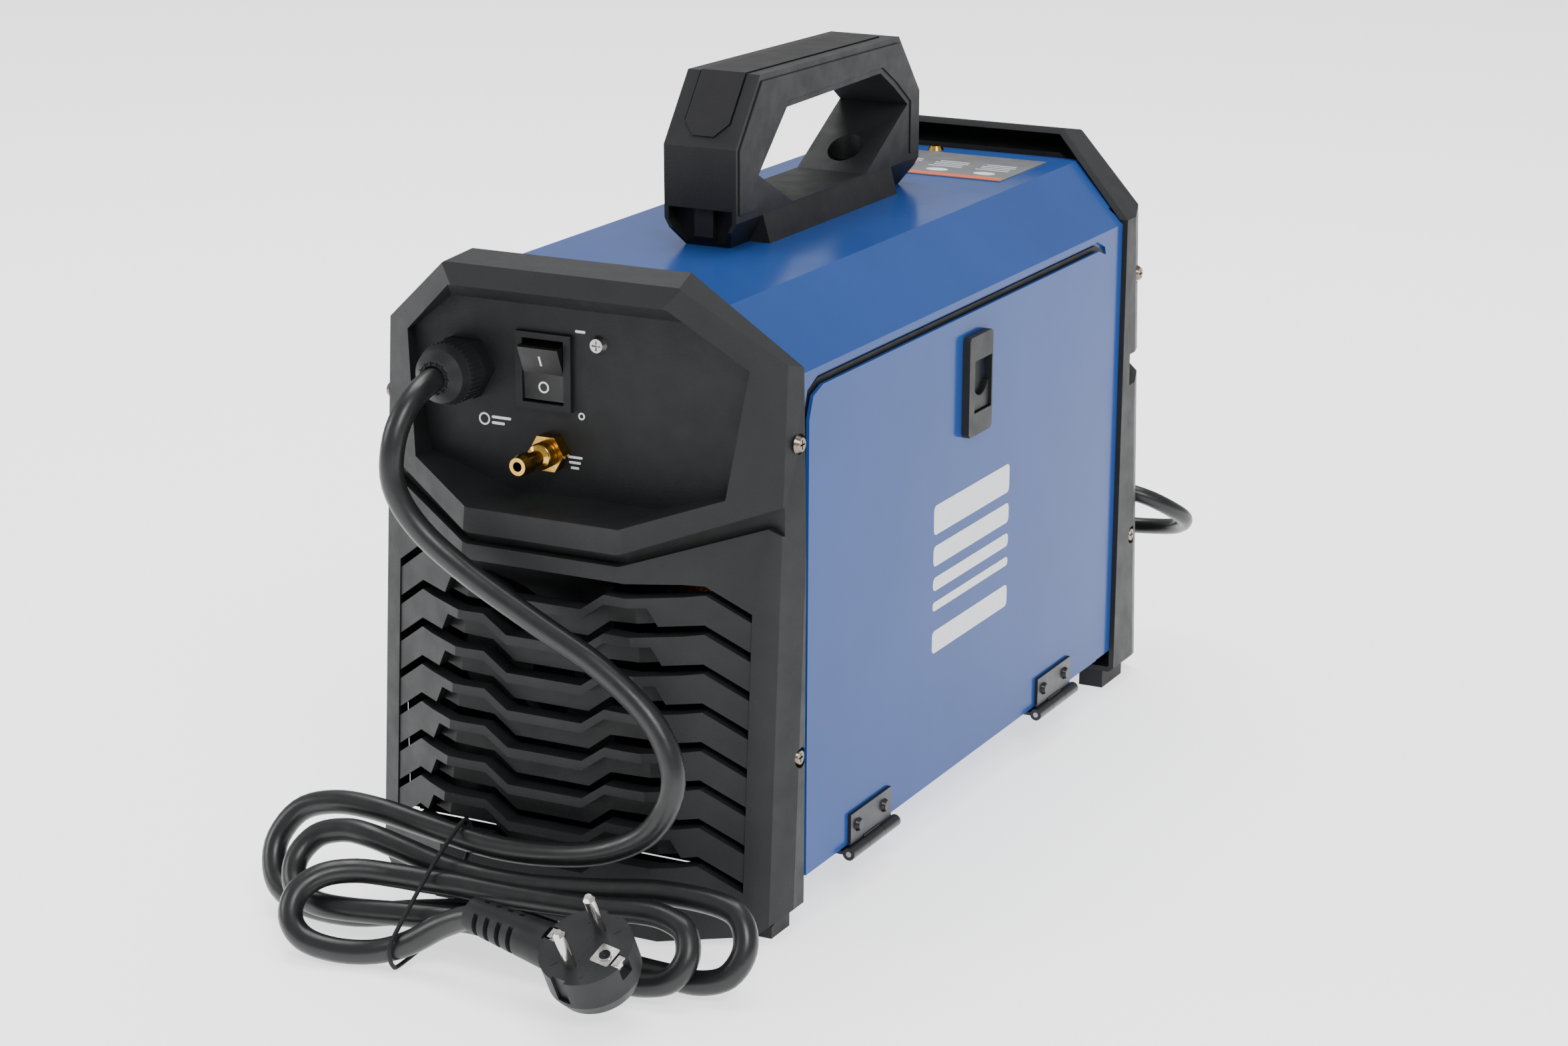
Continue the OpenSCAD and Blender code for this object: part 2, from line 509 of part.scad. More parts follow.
module feed_bracket() color([0.3, 0.3, 0.32]) difference() {
  union() {
    translate([-16, -126, 60]) cube([20, 82, 40]);
    translate([-16, -126, 100]) cube([20, 34, 34]);
    translate([-30, -114, 122]) rotate([0, 90, 0]) cylinder(r = 3, h = 16);
    translate([-38, -124, 104]) cube([22, 14, 10]);
  }
  translate([-50, roll_y, roll_z]) rotate([0, 90, 0]) cylinder(r = 4.05, h = 60);
  translate([-30, -130, roll_z + 15.1]) rotate([-90, 0, 0]) cylinder(r = 1.5, h = 60);
}
module feed_motor() color([0.25, 0.25, 0.27]) translate([5.5, roll_y, roll_z]) rotate([0, 90, 0])
  difference() {
    union() {
      cylinder(r = 20, h = 58);
      translate([0, 0, -1.5]) cylinder(r = 8.9, h = 3);
    }
    translate([0, 0, -2]) cylinder(r = 4.05, h = 14);
  }
module drive_roll() color(steel) translate([-37, roll_y, roll_z]) rotate([0, 90, 0]) {
  rotate_extrude() polygon([[0, 1], [15, 1], [15, 6], [14.2, 7], [15, 8], [15, 13], [0, 13]]);
  translate([0, 0, -6]) cylinder(r = 7, h = 7);
  cylinder(r = 4, h = 52);
}
module pressure_arm() color([0.3, 0.3, 0.32]) difference() {
  union() {
    translate([-22, -119, 117]) cube([5.8, 75, 12]);
    translate([-40, -60, 117]) cube([18, 16, 12]);
    translate([-36, roll_y, roll_z + 26.2]) rotate([0, 90, 0]) cylinder(r = 2.5, h = 15);
  }
  translate([-50, -114, 122]) rotate([0, 90, 0]) cylinder(r = 3.05, h = 60);
  translate([-30, -52, 110]) cylinder(r = 2.55, h = 30);
}
module pressure_roll() color(steel) translate([-36, roll_y, roll_z + 26.2]) rotate([0, 90, 0])
  difference() {
    cylinder(r = 11, h = 12);
    translate([0, 0, -1]) cylinder(r = 2.55, h = 20);
  }
module tension_knob() color([0.6, 0.1, 0.1]) translate([-30, -52, 118]) {
  cylinder(r = 2.5, h = 13);
  translate([0, 0, 11.2]) difference() {
    cylinder(r = 8, h = 20);
    for (a = [0:45:315]) rotate([0, 0, a]) translate([9, 0, 6]) cylinder(r = 2, h = 20);
  }
}

// ---- front panel parts ----
module front_at(x, z) translate([x, -panel_y, z]) rotate([90, 0, 0]) children();
module torch_socket() color(brass) front_at(-30, roll_z + 15.1) difference() {
  union() {
    translate([0, 0, -12]) cylinder(r = 14, h = 26);
    translate([0, 0, -55]) cylinder(r = 6, h = 45);
  }
  translate([0, 0, -8]) cylinder(r = 10, h = 24);
  translate([0, 0, -60]) cylinder(r = 1.5, h = 60);
}
module torch_collar() color(black) front_at(-30, roll_z + 15.1) difference() {
  cylinder(r = 20, h = 8);
  translate([0, 0, -1]) cylinder(r = 14.05, h = 10);
}
module dinse(x) front_at(x, 56) difference() {
  union() {
    cylinder(r = 17, h = 6);
    translate([0, 0, -22]) cylinder(r = 13, h = 22);
  }
  translate([0, 0, -17]) cylinder(r = 6.5, h = 30);
}
module dinse_plus() color(black) dinse(42);
module dinse_minus() color(black) dinse(-42);
module knob(x) color(black) front_at(x, 208) {
  translate([0, 0, -12]) cylinder(r = 3, h = 14);
  translate([0, 0, 0.5]) difference() {
    cylinder(r1 = knob_d / 2, r2 = knob_d / 2 - 1.5, h = 15);
    translate([-0.6, knob_d / 2 - 5, 14]) cube([1.2, 4, 3]);
  }
}
module knob_left() knob(-42);
module knob_right() knob(42);
module button(x) color([0.75, 0.2, 0.12]) front_at(x, 182) {
  translate([0, 0, -10]) cylinder(r = 3.5, h = 13);
  translate([0, 0, 2.6]) cylinder(r = 5, h = 2.4);
}
module button_left() button(-20);
module button_right() button(20);
module display_window() color([0.1, 0.1, 0.12]) front_at(0, 234) {
  translate([-28, -12, -4]) cube([56, 24, 5]);
}
module polarity_plug() color(black) front_at(-42, 56) {
  translate([0, 0, -15]) cylinder(r = 6.4, h = 22);
  translate([0, 0, 6.5]) cylinder(r = 12, h = 22);
  translate([0, 0, 28]) cylinder(r1 = 12, r2 = 6.5, h = 12);
}
module polarity_lead() color(black) tube(lead_route, 4, 2, 8);

base_plate();
case_cover();
divider_plate();
rear_frame();
front_frame();
door_frame();
rear_bezel();
rear_panel();
front_bezel();
front_panel();
feet();
side_door();
door_hinge_leaves();
fixed_hinge_leaves();
hinge_pins();
hinge_screws();
latch_bezel();
latch_slider();
handle_body();
handle_grip();
handle_screws();
switch_housing();
switch_rocker();
gland_body();
gland_nut();
gas_barb();
gas_nut();
mains_cable();
plug_body();
plug_pins();
plug_clips();
cord_tie();
rear_bezel_screws();
front_bezel_screws();
panel_screw();
top_screw();
top_label();
fan_frame();
fan_rotor();
spool_hub();
wire_spool();
weld_wire();
spool_nut();
feed_bracket();
feed_motor();
drive_roll();
pressure_arm();
pressure_roll();
tension_knob();
torch_socket();
torch_collar();
dinse_plus();
dinse_minus();
knob_left();
knob_right();
button_left();
button_right();
display_window();
circuit_board();
heatsink();
transformer();
gas_valve();
polarity_lead();
polarity_plug();
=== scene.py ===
import bpy, bmesh, json, math
from mathutils import Vector, Matrix


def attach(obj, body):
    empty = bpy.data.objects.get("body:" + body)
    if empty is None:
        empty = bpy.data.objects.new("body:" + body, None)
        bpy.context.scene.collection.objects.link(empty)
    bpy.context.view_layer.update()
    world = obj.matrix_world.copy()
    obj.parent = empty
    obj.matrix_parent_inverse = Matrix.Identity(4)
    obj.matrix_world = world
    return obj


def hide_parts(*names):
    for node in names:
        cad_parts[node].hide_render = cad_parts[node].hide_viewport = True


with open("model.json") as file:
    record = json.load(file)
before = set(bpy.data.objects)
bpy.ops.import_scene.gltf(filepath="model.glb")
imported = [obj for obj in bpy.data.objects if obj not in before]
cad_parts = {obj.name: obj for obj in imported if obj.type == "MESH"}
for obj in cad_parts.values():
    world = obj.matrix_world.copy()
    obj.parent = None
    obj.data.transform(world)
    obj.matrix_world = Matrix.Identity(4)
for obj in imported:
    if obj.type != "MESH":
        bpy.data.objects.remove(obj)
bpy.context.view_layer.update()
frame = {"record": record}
MM = 0.001


# ---------------------------------------------------------------- camera, floor, light
CAMERA_AT = (-0.6879, 1.3676, 0.5568)
CAMERA_TURN = (26.82, 16.18, 0.33)     # yaw, pitch and roll in degrees
LENS_MM = 81.30
WORLD_LIGHT = 0.62
FLOOR_GLOW = 1.3
FLOOR_HALF = 4.0


def camera():
    yaw, pitch, roll = map(math.radians, CAMERA_TURN)
    f = Vector((math.sin(yaw) * math.cos(pitch), -math.cos(yaw) * math.cos(pitch), -math.sin(pitch)))
    r = Vector((-math.cos(yaw), -math.sin(yaw), 0))
    u = r.cross(f)
    r2 = math.cos(roll) * r + math.sin(roll) * u
    u2 = -math.sin(roll) * r + math.cos(roll) * u
    cam = bpy.data.objects.new("camera", bpy.data.cameras.new("camera"))
    bpy.context.scene.collection.objects.link(cam)
    m = Matrix((r2, u2, -f)).transposed().to_4x4()
    m.translation = Vector(CAMERA_AT)
    cam.matrix_world = m
    cam.data.sensor_width = 36
    cam.data.lens = LENS_MM
    cam.data.clip_start = 0.01
    bpy.context.scene.camera = cam


def area(name, loc, target, size, power):
    d = bpy.data.lights.new(name, "AREA")
    d.energy, d.size = power, size
    o = bpy.data.objects.new(name, d)
    bpy.context.scene.collection.objects.link(o)
    o.location = loc
    o.rotation_euler = (Vector(target) - Vector(loc)).to_track_quat("-Z", "Y").to_euler()


def studio():
    w = bpy.data.worlds.new("studio")
    bpy.context.scene.world = w
    w.use_nodes = True
    w.node_tree.nodes["Background"].inputs[0].default_value = (1, 1, 1, 1)
    w.node_tree.nodes["Background"].inputs[1].default_value = WORLD_LIGHT
    area("key", (-1.6, 1.8, 2.2), (0, 0, 0.15), 1.2, 52)
    area("left", (2.2, 1.2, 1.2), (0, 0.1, 0.15), 1.0, 22)
    area("top", (0.3, -0.6, 2.4), (0, 0, 0.2), 1.8, 62)
    bm = bmesh.new()
    bmesh.ops.create_grid(bm, x_segments=8, y_segments=8, size=FLOOR_HALF)
    me = bpy.data.meshes.new("floor")
    bm.to_mesh(me)
    bm.free()
    o = bpy.data.objects.new("floor", me)
    bpy.context.scene.collection.objects.link(o)
    n, l, white, shader = principled("floor_white", (0.93, 0.93, 0.93), 0.6)
    noise_bump(n, l, shader, 40, 0.02, 0.0005)
    shader.inputs["Emission Color"].default_value = (1, 1, 1, 1)
    shader.inputs["Emission Strength"].default_value = FLOOR_GLOW
    me.materials.append(white)


# ---------------------------------------------------------------- materials
def srgb(r, g, b):
    return tuple(((c / 255 + 0.055) / 1.055) ** 2.4 if c > 10 else c / 255 / 12.92 for c in (r, g, b))


MATS = {}


def principled(name, colour, rough, metal=0.0, coat=0.0, spec=0.5):
    """A new material: its nodes, its links, itself and its shader."""
    m = bpy.data.materials.new(name)
    m.use_nodes = True
    t = m.node_tree
    b = t.nodes["Principled BSDF"]
    b.inputs["Base Color"].default_value = (*colour, 1)
    b.inputs["Roughness"].default_value = rough
    b.inputs["Metallic"].default_value = metal
    b.inputs["Coat Weight"].default_value = coat
    b.inputs["Coat Roughness"].default_value = 0.08
    b.inputs["Specular IOR Level"].default_value = spec
    MATS[name] = m
    return t.nodes, t.links, m, b


def coords(n, l, scale=(1, 1, 1)):
    c = n.new("ShaderNodeTexCoord")
    mp = n.new("ShaderNodeMapping")
    mp.inputs["Scale"].default_value = scale
    l.new(c.outputs["Object"], mp.inputs["Vector"])
    return mp.outputs["Vector"]


def noise(n, l, scale, detail=3, stretch=(1, 1, 1), rough=0.55):
    x = n.new("ShaderNodeTexNoise")
    x.inputs["Scale"].default_value = scale
    x.inputs["Detail"].default_value = detail
    x.inputs["Roughness"].default_value = rough
    l.new(coords(n, l, stretch), x.inputs["Vector"])
    return x.outputs["Fac"]


def ramp(n, l, src, a, b, lo=0.35, hi=0.65):
    r = n.new("ShaderNodeValToRGB")
    e = r.color_ramp.elements
    e[0].position, e[1].position = lo, hi
    e[0].color, e[1].color = (*a, 1), (*b, 1)
    l.new(src, r.inputs["Fac"])
    return r.outputs["Color"]


def span(n, l, src, lo, hi):
    r = n.new("ShaderNodeMapRange")
    r.inputs["From Min"].default_value, r.inputs["From Max"].default_value = 0.3, 0.7
    r.inputs["To Min"].default_value, r.inputs["To Max"].default_value = lo, hi
    l.new(src, r.inputs["Value"])
    return r.outputs["Result"]


def noise_bump(n, l, shader, scale, strength, dist, detail=2, stretch=(1, 1, 1)):
    b = n.new("ShaderNodeBump")
    b.inputs["Strength"].default_value = strength
    b.inputs["Distance"].default_value = dist
    l.new(noise(n, l, scale, detail, stretch), b.inputs["Height"])
    l.new(b.outputs["Normal"], shader.inputs["Normal"])


def shade(c, k):
    return tuple(min(1, x * k) for x in c)


def make(name, c, rough, metal=0.0, coat=0.0, vary=0.12, vscale=30, grain=900, gs=0.15, gd=0.0002,
         edge_highlight=0.0, stretch=(1, 1, 1), spec=0.5, rvar=0.06):
    """Colour varies by vary, roughness by rvar; gs and gd are the grain's strength and depth; the edge
    strength paints a highlight on convex edges.
    """
    n, l, _, shader = principled(name, c, rough, metal, coat, spec)
    col = ramp(n, l, noise(n, l, vscale, 5, stretch), shade(c, 1 - vary), shade(c, 1 + vary))
    # Painted highlight: the base colour is lightened towards 2.6 times its value on convex edges,
    # found by Pointiness, up to the edge strength.
    if edge_highlight:
        g = n.new("ShaderNodeNewGeometry")
        r = n.new("ShaderNodeMapRange")
        r.inputs["From Min"].default_value, r.inputs["From Max"].default_value = 0.51, 0.58
        r.inputs["To Max"].default_value = edge_highlight
        l.new(g.outputs["Pointiness"], r.inputs["Value"])
        edge_highlight_mix = n.new("ShaderNodeMix")
        edge_highlight_mix.data_type = "RGBA"
        l.new(r.outputs["Result"], edge_highlight_mix.inputs["Factor"])
        l.new(col, edge_highlight_mix.inputs["A"])
        edge_highlight_mix.inputs["B"].default_value = (*shade(c, 2.6), 1)
        col = edge_highlight_mix.outputs["Result"]
    l.new(col, shader.inputs["Base Color"])
    l.new(span(n, l, noise(n, l, vscale * 3, 4, stretch), rough - rvar, rough + rvar),
          shader.inputs["Roughness"])
    noise_bump(n, l, shader, grain, gs, gd, 2, stretch)


def materials():
    make("blue_paint", srgb(36, 68, 130), 0.2, coat=0.03, vary=0.05, vscale=14, grain=260, gs=0.04,
         gd=0.0003, rvar=0.03, spec=0.09)
    # black_plastic carries a painted highlight on its convex edges.
    make("black_plastic", srgb(25, 26, 27), 0.5, vary=0.16, grain=1500, gs=0.4, gd=0.0002, edge_highlight=0.35,
         spec=0.22)
    make("panel_plastic", srgb(25, 26, 28), 0.5, vary=0.12, grain=1900, gs=0.45, gd=0.00025, spec=0.22)
    make("switch_black", srgb(14, 14, 15), 0.28, vary=0.12, grain=700, gs=0.06, spec=0.35)
    make("rubber", srgb(24, 24, 26), 0.6, vary=0.14, grain=900, gs=0.3, spec=0.25)
    make("lead_rubber", srgb(25, 26, 27), 0.33, vary=0.12, vscale=60, grain=500, gs=0.1, spec=0.42)
    make("zinc", (0.36, 0.355, 0.35), 0.26, metal=1, vary=0.14, vscale=60, grain=600, gs=0.08)
    make("chrome", (0.58, 0.57, 0.55), 0.16, metal=1, vary=0.08, vscale=90, grain=500, gs=0.04)
    make("bronze", srgb(112, 101, 90), 0.26, metal=1, vary=0.16, vscale=300, grain=900, gs=0.08)
    make("black_zinc", srgb(40, 40, 43), 0.32, metal=0.8, vary=0.14, vscale=200, grain=900, gs=0.08)
    make("brass", srgb(190, 150, 70), 0.2, metal=1, vary=0.12, vscale=200, grain=900, gs=0.06)
    make("label", srgb(104, 106, 110), 0.3, vary=0.06, grain=700, gs=0.05)
    make("dark_metal", srgb(38, 39, 42), 0.36, metal=0.5, vary=0.12, grain=700, gs=0.1)
    make("aluminium", (0.6, 0.61, 0.63), 0.35, metal=1, vary=0.08, vscale=80, stretch=(1, 0.05, 1))
    make("copper", srgb(196, 120, 76), 0.28, metal=1, vary=0.15, vscale=500, stretch=(6, 1, 1),
         grain=900, gs=0.2)
    make("board", srgb(22, 92, 52), 0.35, vary=0.3, vscale=160, grain=300, gs=0.2)
    make("red", srgb(150, 26, 22), 0.32, vary=0.08, grain=600, gs=0.06)
    make("window", srgb(12, 14, 18), 0.12, vary=0.1, grain=200, gs=0.02)
    make("white_ink", srgb(214, 217, 220), 0.42, vary=0.03, vscale=200, grain=900, gs=0.08)
    make("orange_ink", srgb(206, 92, 40), 0.36, vary=0.04, vscale=200, grain=900, gs=0.05)


# ---------------------------------------------------------------- mesh helpers
def link(o, body, mat):
    bpy.context.scene.collection.objects.link(o)
    o.data.materials.append(MATS[mat])
    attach(o, body)
    return o


def mesh_piece(name, bm, body, mat, bevel=0.0, seg=2, smooth=True, angle=30):
    bmesh.ops.recalc_face_normals(bm, faces=bm.faces)
    me = bpy.data.meshes.new(name)
    bm.to_mesh(me)
    bm.free()
    if smooth:
        me.polygons.foreach_set("use_smooth", [True] * len(me.polygons))
    o = link(bpy.data.objects.new(name, me), body, mat)
    round_off(o, bevel, seg, angle)
    return o


def round_off(o, width, seg=2, angle=30):
    if width:
        b = o.modifiers.new("bevel", "BEVEL")
        b.width, b.segments, b.limit_method = width, seg, "ANGLE"
        b.angle_limit = math.radians(angle)
        b.harden_normals = False
        b.use_clamp_overlap = True
    w = o.modifiers.new("normals", "WEIGHTED_NORMAL")
    w.keep_sharp = True


def prism(bm, pts, depth, place):
    """A closed outline in its own plane, given depth along +Z, then moved by place."""
    lo = [bm.verts.new(place @ Vector((x, y, 0))) for x, y in pts]
    hi = [bm.verts.new(place @ Vector((x, y, depth))) for x, y in pts]
    bm.faces.new(lo[::-1])
    bm.faces.new(hi)
    n = len(pts)
    for i in range(n):
        j = (i + 1) % n
        bm.faces.new((lo[i], lo[j], hi[j], hi[i]))


def lathe(bm, prof, place, n=48):
    """prof: (radius, height) pairs turned about Z; ends at radius 0 close on the axis."""
    rings = []
    for r, h in prof:
        if r < 1e-7:
            rings.append([bm.verts.new(place @ Vector((0, 0, h)))])
        else:
            rings.append([bm.verts.new(place @ Vector((r * math.cos(2 * math.pi * k / n),
                                                       r * math.sin(2 * math.pi * k / n), h)))
                          for k in range(n)])
    for a, b in zip(rings, rings[1:]):
        for k in range(n):
            q = (k + 1) % n
            if len(a) == 1 and len(b) > 1:
                bm.faces.new((a[0], b[k], b[q]))
            elif len(b) == 1 and len(a) > 1:
                bm.faces.new((a[k], b[0], a[q]))
            elif len(a) > 1:
                bm.faces.new((a[k], b[k], b[q], a[q]))


def oval(cx, cy, rx, ry, n=28):
    return [(cx + rx * math.cos(2 * math.pi * k / n), cy + ry * math.sin(2 * math.pi * k / n))
            for k in range(n)]


def box2(x0, y0, x1, y1):
    return [(x0, y0), (x1, y0), (x1, y1), (x0, y1)]


# plane frames: local X, Y, Z columns and an origin, in metres
def plane(origin, x, y):
    x, y = Vector(x).normalized(), Vector(y).normalized()
    m = Matrix((x, y, x.cross(y))).transposed().to_4x4()
    m.translation = Vector(origin) * MM
    return m @ Matrix.Scale(MM, 4)


# ---------------------------------------------------------------- cords
LEAD = [(53.5, 200, 219), (53.5, 212, 218.5), (54.5, 226, 213), (56, 236, 200), (55, 239, 182),
        (45, 237, 165), (24, 235, 149), (-6, 234, 133), (-36, 234, 118), (-60, 235, 99),
        (-69, 237, 78), (-61, 239, 58), (-42, 240, 46), (-18, 240, 40)]
LOOP_1 = [(10, 240, 38), (40, 238, 40), (68, 237, 43), (88, 238, 43), (103.3, 241.5, 37.7),
          (109.6, 250, 25), (103.3, 258.5, 12.3), (88, 262, 7), (62, 264, 8), (36, 258, 12),
          (8, 253, 15), (-24, 254, 13), (-54, 257, 8), (-78, 258, 7), (-92, 258, 7),
          (-103, 255.8, 11), (-107.4, 250.5, 20.5), (-103, 245.2, 30), (-92, 243, 34),
          (-66, 243, 34), (-36, 245, 30), (-4, 246.5, 27)]
LOOP_2 = [(24, 247.5, 28), (48, 250, 34), (62, 251.5, 37.5), (74, 252, 38), (85.5, 255.4, 34.6),
          (90.2, 263.5, 26.5), (85.5, 271.6, 18.4), (74, 275, 15), (58, 275, 15), (30, 270, 16),
          (2, 265, 16), (-28, 267, 13), (-52, 271, 8), (-65, 271.3, 7.4), (-76, 271, 8),
          (-85.4, 268.8, 11.2), (-89.3, 263.5, 19), (-85.4, 258.2, 26.8), (-76, 256, 30),
          (-64, 256, 30.4), (-44, 257, 28.4), (-12, 258, 27)]
LOOP_3 = [(16, 258.5, 27), (30, 260, 27), (44, 262, 27.5), (58, 268, 29), (69, 276, 28),
          (75, 285, 23), (74, 292, 15), (66, 295, 8.5), (52, 294, 6), (36, 290, 6.8),
          (22, 286.8, 12), (8, 284, 21), (-6, 284.1, 27.2), (-20, 286.5, 27.4)]
ROUTE = LEAD + LOOP_1 + LOOP_2 + LOOP_3
SHORT = [(-42, -224, 56), (-44, -236, 56), (-56, -246, 57), (-76, -248, 58), (-94, -242, 62),
         (-103, -230, 70), (-99, -216, 79), (-89, -209, 85), (-77, -205, 87.5), (-68, -197, 86.5),
         (-66, -189, 86), (-66, -180, 86)]
TIE = [(26, 232.5, 40), (26, 236, 45.5), (26, 242, 45), (26, 262, 35.2), (26, 290, 16.4),
       (26, 294.6, 10.5), (26, 292.5, 3.8), (26, 286, 2.2), (26, 256, 5.6), (26, 249, 9),
       (26, 240, 26), (26, 232.6, 35), (26, 232.2, 38)]


def smooth_line(pts, steps=5):
    p = [Vector(q) for q in pts]
    out = []
    for i in range(len(p) - 1):
        a, b, c, d = p[max(i - 1, 0)], p[i], p[i + 1], p[min(i + 2, len(p) - 1)]
        for k in range(steps):
            t = k / steps
            out.append(0.5 * (2 * b + (c - a) * t + (2 * a - 5 * b + 4 * c - d) * t * t
                              + (3 * b - a - 3 * c + d) * t ** 3))
    return out + [p[-1]]


def curve_piece(name, pts, radius, body, mat, steps=5, res=5):
    line = smooth_line(pts, steps)
    cu = bpy.data.curves.new(name, "CURVE")
    cu.dimensions = "3D"
    cu.bevel_depth = radius * MM
    cu.bevel_resolution = res
    cu.use_fill_caps = True
    sp = cu.splines.new("POLY")
    sp.points.add(len(line) - 1)
    for q, v in zip(sp.points, line):
        q.co = (*(v * MM), 1)
    o = link(bpy.data.objects.new(name, cu), body, mat)
    return o, sum((b - a).length for a, b in zip(line, line[1:])) * MM


def cords():
    o, length = curve_piece("mains_cord", ROUTE, 5, "case", "lead_rubber")
    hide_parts("mains_cable")
    tie, _ = curve_piece("twist_tie", TIE, 0.9, "case", "rubber", 5, 3)
    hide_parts("cord_tie")
    print("mains cord length", round(length, 3))
    s, length = curve_piece("polarity_cord", SHORT, 4, "case", "lead_rubber")
    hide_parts("polarity_lead")
    print("polarity cord length", round(length, 3))


# ---------------------------------------------------------------- CAD nodes: finish
# edge rounding in mm
ROUND = {"rear_bezel": 0.9, "front_bezel": 0.9, "handle_body": 1.6, "side_door": 0.5,
         "latch_bezel": 1.0, "latch_slider": 0.5, "switch_housing": 0.5, "switch_rocker": 0.5,
         "gland_body": 0.5, "gas_nut": 0.3, "plug_body": 0.7, "feet": 0.8,
         "door_hinge_leaves": 0.2, "fixed_hinge_leaves": 0.2, "knob_left": 0.6, "knob_right": 0.6,
         "dinse_plus": 0.5, "dinse_minus": 0.5, "polarity_plug": 0.5, "torch_collar": 0.5}


def finish_nodes():
    slots = {s["node"]: s["material_slot"] for s in frame["record"]["subparts"]}
    for node, sl in slots.items():
        o = bpy.data.objects[node]
        for s in o.material_slots:
            s.material = MATS[sl]
        if not o.material_slots:
            o.data.materials.append(MATS[sl])
        if node in ROUND:
            round_off(o, ROUND[node] * MM, 2, 28)


# ---------------------------------------------------------------- printed marks and small fittings
PANEL_Y = 185.6         # rear panel's outside
DOOR_X = -94            # door's outside
LABEL_Z = 254.4         # top label's upper face
ROCKER_X = 16.7
INK = 0.12              # thickness of printed marks
LABEL_INK = 0.1
PLUG_AT = (-65, 299, 32)
PLUG_TILT = -28.7
PLUG_TURN = -11
EARTH_X = -9.5
HANDLE_HALF = 17
REAR = plane((0, PANEL_Y, 0), (-1, 0, 0), (0, 0, 1))      # local x is -X, local y is Z
DOOR = plane((DOOR_X, 0, 0), (0, -1, 0), (0, 0, 1))       # local x is -Y, local y is Z
TOP = plane((0, 0, LABEL_Z), (-1, 0, 0), (0, -1, 0))      # local x is -X, local y is -Y
GLAND = plane((53.5, PANEL_Y, 219), (-1, 0, 0), (0, 0, 1))
GAS = plane((13.5, PANEL_Y, 188.5), (-1, 0, 0), (0, 0, 1))


def shift(place, x, y, z=0.0):
    return place @ Matrix.Translation((x, y, z))


def turned(place, degrees):
    return place @ Matrix.Rotation(math.radians(degrees), 4, "Z")


def hoop(bm, r0, r1, depth, place, n=32):
    """A flat ring from radius r0 to r1."""
    rows = [[bm.verts.new(place @ Vector((r * math.cos(2 * math.pi * k / n),
                                          r * math.sin(2 * math.pi * k / n), z)))
             for k in range(n)] for r, z in ((r0, 0), (r1, 0), (r1, depth), (r0, depth))]
    for a, b in zip(rows, rows[1:] + rows[:1]):
        for k in range(n):
            q = (k + 1) % n
            bm.faces.new((a[k], a[q], b[q], b[k]))


def rounded(w, h, r, n=5):
    """A rounded rectangle about its own middle."""
    return [(sx * (w / 2 - r) + r * math.cos(a), sy * (h / 2 - r) + r * math.sin(a))
            for sx, sy, start in ((1, 1, 0), (-1, 1, 90), (-1, -1, 180), (1, -1, 270))
            for a in [math.radians(start + 90 * k / n) for k in range(n + 1)]]


def ink(name, bm, body, mat):
    o = mesh_piece(name, bm, body, mat, smooth=False)
    return o


def rear_marks():
    """Plain shapes only, where the rocker and the rear panel carry printed symbols."""
    bm = bmesh.new()
    up = plane((ROCKER_X, PANEL_Y + 4.03, 225.85), (-1, 0, 0), (0, 0.394, 0.919))
    prism(bm, box2(-0.4, -2.3, 0.4, 2.3), INK, up)
    low = plane((ROCKER_X, PANEL_Y + 1.4, 214.6), (-1, 0, 0), (0, 0.036, 0.999))
    hoop(bm, 1.7, 2.4, INK, low)
    ink("rocker_marks", bm, "rocker", "white_ink")
    bm = bmesh.new()
    prism(bm, rounded(4.6, 1.1, 0.5), INK, shift(REAR, -0.4, 238.8))
    hoop(bm, 0.9, 1.5, INK, shift(REAR, -0.2, 204.3))
    for k in range(3):
        prism(bm, rounded(7 - 1.6 * k, 1.0, 0.45), INK, shift(REAR, -3.5, 187 - 2.2 * k))
    hoop(bm, 1.9, 2.6, INK, shift(REAR, -45.5, 198))
    prism(bm, rounded(9, 1.1, 0.5), INK, shift(REAR, -37.5, 199.2))
    prism(bm, rounded(6, 1.1, 0.5), INK, shift(REAR, -39, 196.8))
    ink("panel_marks", bm, "case", "white_ink")


def door_graphic():
    """Plain level bars of different heights: a generic decoration, with no letters."""
    bm = bmesh.new()
    z = 146
    for height, gap in ((13, 5), (9, 5), (6, 5), (4, 9), (10, 0)):
        prism(bm, rounded(80, height, min(2.4, height / 2.2)), INK, shift(DOOR, -12, z - height / 2))
        z -= height + gap
    ink("door_bars", bm, "door", "white_ink")


def top_label_print():
    """A coloured strip, ovals and blank lines in place of the printed label."""
    bm = bmesh.new()
    prism(bm, box2(-49, 112.6, 49, 119), LABEL_INK, TOP)
    ink("label_strip", bm, "case", "orange_ink")
    bm = bmesh.new()
    for x in (-36, -12, 12, 36):
        prism(bm, oval(x, 126, 5.4, 3.4), LABEL_INK, TOP)
        for k in range(4):
            prism(bm, rounded(17 - 2 * (k % 2), 1.0, 0.45), LABEL_INK, shift(TOP, x, 135 + 4 * k))
    ink("label_ovals", bm, "case", "white_ink")


def gland_details():
    """Grip ribs round the nut, and the split seal that holds the cord."""
    bm = bmesh.new()
    ribs, slits = 40, 14
    for k in range(ribs):
        prism(bm, box2(12.3, -0.45, 12.85, 0.45), 8.6, shift(turned(GLAND, 360 * k / ribs), 0, 0, 7.8))
    mesh_piece("gland_ribs", bm, "case", "black_plastic", 0.0001)
    bm = bmesh.new()
    lathe(bm, [(5.15, 16), (6.5, 16), (6.5, 24.4), (6.1, 25.4), (5.15, 25.4), (5.15, 16)], GLAND)
    for k in range(slits):
        prism(bm, box2(5.3, -0.4, 6.9, 0.4), 1.2, shift(turned(GLAND, 360 * k / slits), 0, 0, 24.6))
    mesh_piece("gland_seal", bm, "case", "rubber", 0.0001)


